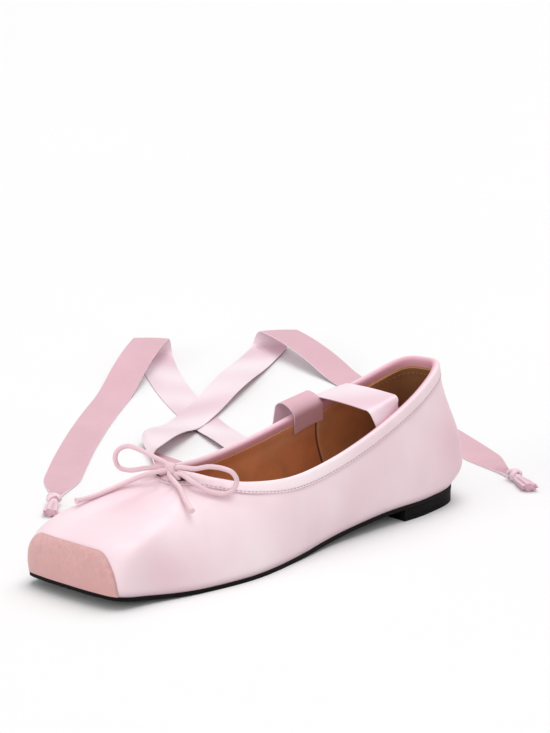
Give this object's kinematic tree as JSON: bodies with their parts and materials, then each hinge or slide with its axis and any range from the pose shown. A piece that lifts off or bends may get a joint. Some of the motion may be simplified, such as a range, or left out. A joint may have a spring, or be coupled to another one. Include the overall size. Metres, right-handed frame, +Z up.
{
  "type": "ballet flat",
  "caption": "Left ballet flat in pink satin with a square toe, suede toe patch, bound low topline, cord bow, thin black sole with a low heel, and ankle ribbons laid down.",
  "frame": {"origin": "on the floor under the middle of the shoe's own box, the ribbons and bow not counted", "axes": "+Y from toe to heel along the shoe, +X to the outer (lateral) side, +Z up; the toe points to -Y"},
  "size_m": [0.3349, 0.4015, 0.069],
  "materials": {
    "satin": "pale pink satin, soft sheen",
    "satin_binding": "pale pink satin, folded and stitched",
    "satin_ribbon": "pink satin ribbon, glossy outer face",
    "satin_cord": "pink twisted cord, matt",
    "rose_suede": "dusty rose suede, matt nap",
    "tan_leather": "tan lining leather, smooth",
    "sole_rubber": "black, matt"
  },
  "bodies": {
    "root": {"upper": "satin", "topline_binding": "satin_binding", "toe_patch": "rose_suede", "outsole": "sole_rubber", "heel_block": "sole_rubber", "insole": "tan_leather", "bow_knot": "satin_cord", "bow_loop_left": "satin_cord", "bow_loop_right": "satin_cord", "bow_tail_left": "satin_cord", "bow_tail_right": "satin_cord", "ribbon_medial": "satin_ribbon", "ribbon_lateral": "satin_ribbon", "ribbon_end_medial": "satin_ribbon", "ribbon_end_lateral": "satin_ribbon"}
  },
  "joints": []
}
